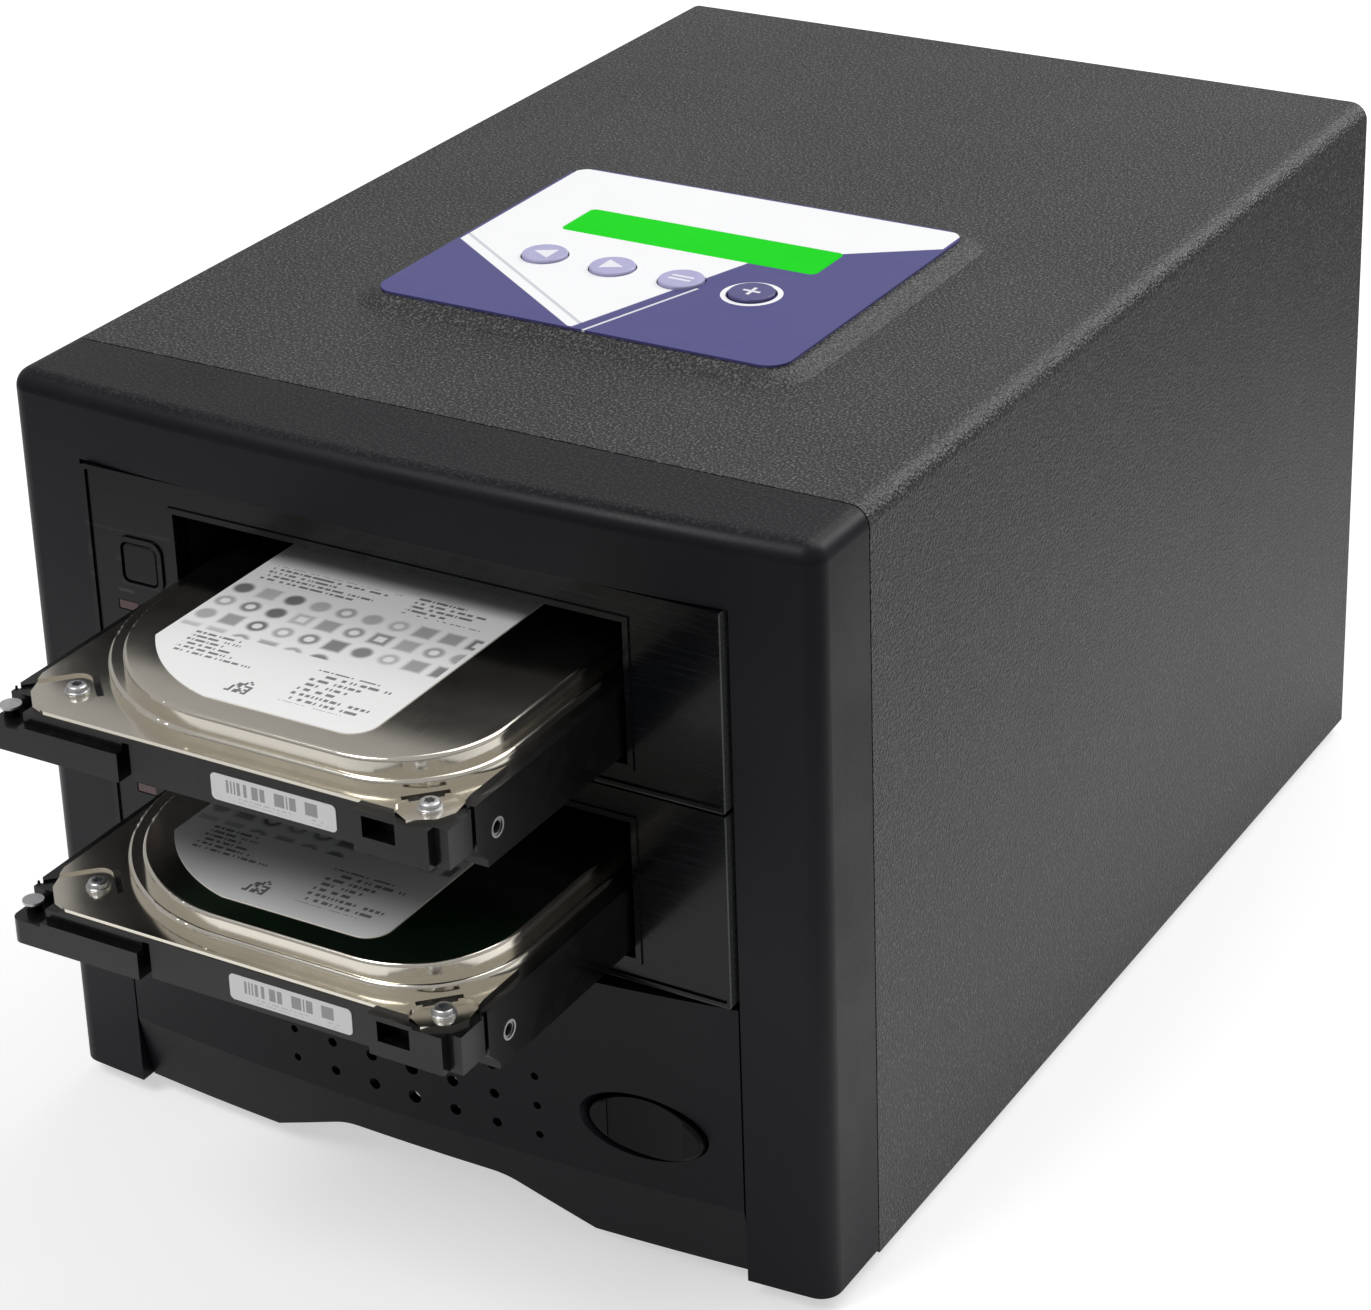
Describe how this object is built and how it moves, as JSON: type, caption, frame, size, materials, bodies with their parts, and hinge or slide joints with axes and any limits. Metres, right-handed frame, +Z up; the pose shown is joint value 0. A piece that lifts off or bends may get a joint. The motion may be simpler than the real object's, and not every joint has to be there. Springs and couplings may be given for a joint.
{
  "type": "hard drive duplicator",
  "caption": "Desktop hard drive duplicator: a dark steel case with a bowed moulded front, stacked drive racks with drives standing part way out, and a display with keys on top.",
  "frame": {"origin": "middle of the base of the whole object, drives at rest, on the plane that the feet stand on", "axes": "+X to the right seen from the front, +Y from the front to the back, +Z up"},
  "size_m": [0.184, 0.33, 0.1682],
  "materials": {
    "cover_black": "fine textured powder coat",
    "front_black": "satin moulded",
    "rack_black": "satin moulded",
    "steel": "plated sheet",
    "button_grey": "satin",
    "button_black": "smooth",
    "key_mauve": "satin",
    "overlay": "printed polycarbonate film",
    "display_green": "clear front over a lit field",
    "module_steel": "satin",
    "rubber": "matt",
    "screw_steel": "plated",
    "casting": "cast and coated dark",
    "lid_metal": "fine satin",
    "board_green": "solder mask",
    "connector_black": "moulded",
    "label_paper": "printed label",
    "lamp_clear": "moulded, milky",
    "sink_metal": "extruded",
    "fan_black": "moulded"
  },
  "bodies": {
    "case": {"top_cover": "cover_black", "chassis_base": "steel", "rear_panel": "steel", "front_bezel": "front_black", "lower_panel": "front_black", "power_switch": "connector_black", "rubber_feet": "rubber", "rear_screws": "screw_steel", "drive_cage_left": "steel", "drive_cage_right": "steel", "rack_screws": "screw_steel", "control_overlay": "overlay", "display_glass": "display_green", "display_module": "module_steel", "key_board": "board_green", "key_switches": "connector_black", "controller_board": "board_green", "controller_heat_sink": "sink_metal", "board_standoffs": "screw_steel", "supply_case": "steel", "power_inlet": "connector_black", "rocker_frame": "connector_black", "supply_fan_frame": "fan_black", "rear_fan_frame": "fan_black", "rack_fascia_lower": "rack_black", "rack_housing_lower": "front_black", "rack_lamp_lower": "lamp_clear", "rack_switch_board_lower": "board_green", "rack_backplane_lower": "board_green", "rack_socket_lower": "connector_black", "rack_fascia_upper": "rack_black", "rack_housing_upper": "front_black", "rack_lamp_upper": "lamp_clear", "rack_switch_board_upper": "board_green", "rack_backplane_upper": "board_green", "rack_socket_upper": "connector_black"},
    "power_button_body": {"power_button": "button_black"},
    "rear_fan_wheel": {"rear_fan_rotor": "fan_black"},
    "supply_fan_wheel": {"supply_fan_rotor": "fan_black"},
    "mains_rocker_body": {"mains_rocker": "button_black"},
    "key_back_body": {"key_back": "key_mauve"},
    "key_next_body": {"key_next": "key_mauve"},
    "key_enter_body": {"key_enter": "key_mauve"},
    "key_escape_body": {"key_escape": "key_mauve"},
    "hard_drive_lower": {"drive_casting_lower": "casting", "drive_lid_lower": "lid_metal", "drive_lid_screws_lower": "screw_steel", "drive_board_lower": "board_green", "drive_connector_lower": "connector_black", "drive_label_lower": "label_paper", "drive_end_label_lower": "label_paper"},
    "rack_button_body_lower": {"rack_button_lower": "button_grey"},
    "hard_drive_upper": {"drive_casting_upper": "casting", "drive_lid_upper": "lid_metal", "drive_lid_screws_upper": "screw_steel", "drive_board_upper": "board_green", "drive_connector_upper": "connector_black", "drive_label_upper": "label_paper", "drive_end_label_upper": "label_paper"},
    "rack_button_body_upper": {"rack_button_upper": "button_grey"}
  },
  "joints": [
    {"name": "drive_slide_lower", "type": "slide", "parent": "case", "child": "hard_drive_lower", "axis": [0, 1, 0], "range_m": [-0.08, 0.0554]},
    {"name": "rack_button_press_lower", "type": "slide", "parent": "case", "child": "rack_button_body_lower", "axis": [0, 1, 0], "range_m": [0, 0.0015], "stiffness_N_per_m": 300, "springref_m": -0.001},
    {"name": "drive_slide_upper", "type": "slide", "parent": "case", "child": "hard_drive_upper", "axis": [0, 1, 0], "range_m": [-0.08, 0.0554]},
    {"name": "rack_button_press_upper", "type": "slide", "parent": "case", "child": "rack_button_body_upper", "axis": [0, 1, 0], "range_m": [0, 0.0015], "stiffness_N_per_m": 300, "springref_m": -0.001},
    {"name": "power_button_press", "type": "slide", "parent": "case", "child": "power_button_body", "axis": [0, 1, 0], "range_m": [0, 0.002], "stiffness_N_per_m": 300, "springref_m": -0.001},
    {"name": "key_back_press", "type": "slide", "parent": "case", "child": "key_back_body", "axis": [0, 0, -1], "range_m": [0, 0.0005], "stiffness_N_per_m": 400, "springref_m": -0.001},
    {"name": "key_next_press", "type": "slide", "parent": "case", "child": "key_next_body", "axis": [0, 0, -1], "range_m": [0, 0.0005], "stiffness_N_per_m": 400, "springref_m": -0.001},
    {"name": "key_enter_press", "type": "slide", "parent": "case", "child": "key_enter_body", "axis": [0, 0, -1], "range_m": [0, 0.0005], "stiffness_N_per_m": 400, "springref_m": -0.001},
    {"name": "key_escape_press", "type": "slide", "parent": "case", "child": "key_escape_body", "axis": [0, 0, -1], "range_m": [0, 0.0005], "stiffness_N_per_m": 400, "springref_m": -0.001},
    {"name": "rear_fan_spin", "type": "hinge", "parent": "case", "child": "rear_fan_wheel", "pos_m": [0, 0.1491, 0.108], "axis": [0, 1, 0], "continuous": true},
    {"name": "supply_fan_spin", "type": "hinge", "parent": "case", "child": "supply_fan_wheel", "pos_m": [0.0114, 0.1531, 0.025], "axis": [0, 1, 0], "continuous": true},
    {"name": "mains_rocker_tip", "type": "hinge", "parent": "case", "child": "mains_rocker_body", "pos_m": [0.0539, 0.1587, 0.0136], "axis": [0, 0, 1], "range_deg": [0, 18]}
  ]
}
